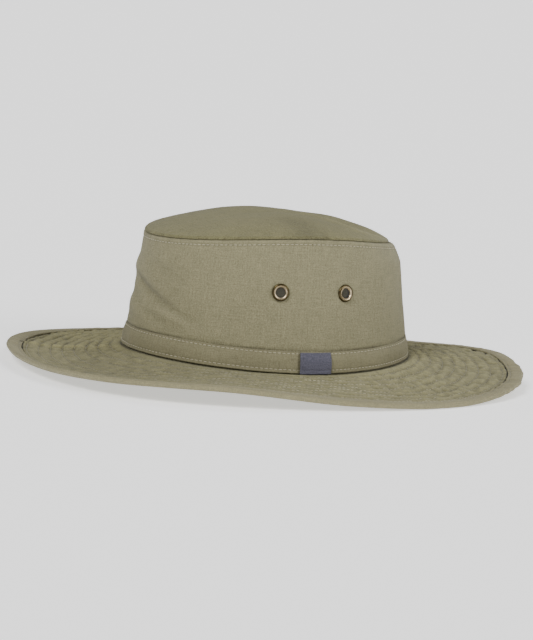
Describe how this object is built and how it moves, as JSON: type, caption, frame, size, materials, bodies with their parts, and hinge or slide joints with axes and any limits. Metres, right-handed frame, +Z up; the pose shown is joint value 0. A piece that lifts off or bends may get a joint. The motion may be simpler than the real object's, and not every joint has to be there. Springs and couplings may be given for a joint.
{
  "type": "ranger hat",
  "caption": "Wide-brim cotton hat with a tapered crown, domed tip, cloth band, bare side tab, brass vent eyelets and a folded hem round the stitched brim.",
  "frame": {"origin": "on the surface that the hat rests on, below the middle of the brim's outline", "axes": "+Z up, the front of the hat faces -Y, +X is the wearer's left, where the side tab is"},
  "size_m": [0.32, 0.3608, 0.1142],
  "materials": {
    "khaki_cotton": "plain-weave cotton, matte khaki",
    "band_cotton": "plain-weave cotton, matte khaki, a little darker",
    "woven_tab": "slate woven tape, matte",
    "antique_brass": "antique brass, satin",
    "dark_mesh": "dark fine mesh, matte"
  },
  "bodies": {
    "root": {"crown_top": "khaki_cotton", "crown_side": "khaki_cotton", "hat_band": "band_cotton", "brim": "khaki_cotton", "brim_binding": "khaki_cotton", "side_label": "woven_tab", "eyelet_left_front": "antique_brass", "eyelet_left_rear": "antique_brass", "eyelet_right_front": "antique_brass", "eyelet_right_rear": "antique_brass", "vent_mesh_left_front": "dark_mesh", "vent_mesh_left_rear": "dark_mesh", "vent_mesh_right_front": "dark_mesh", "vent_mesh_right_rear": "dark_mesh"}
  },
  "joints": []
}
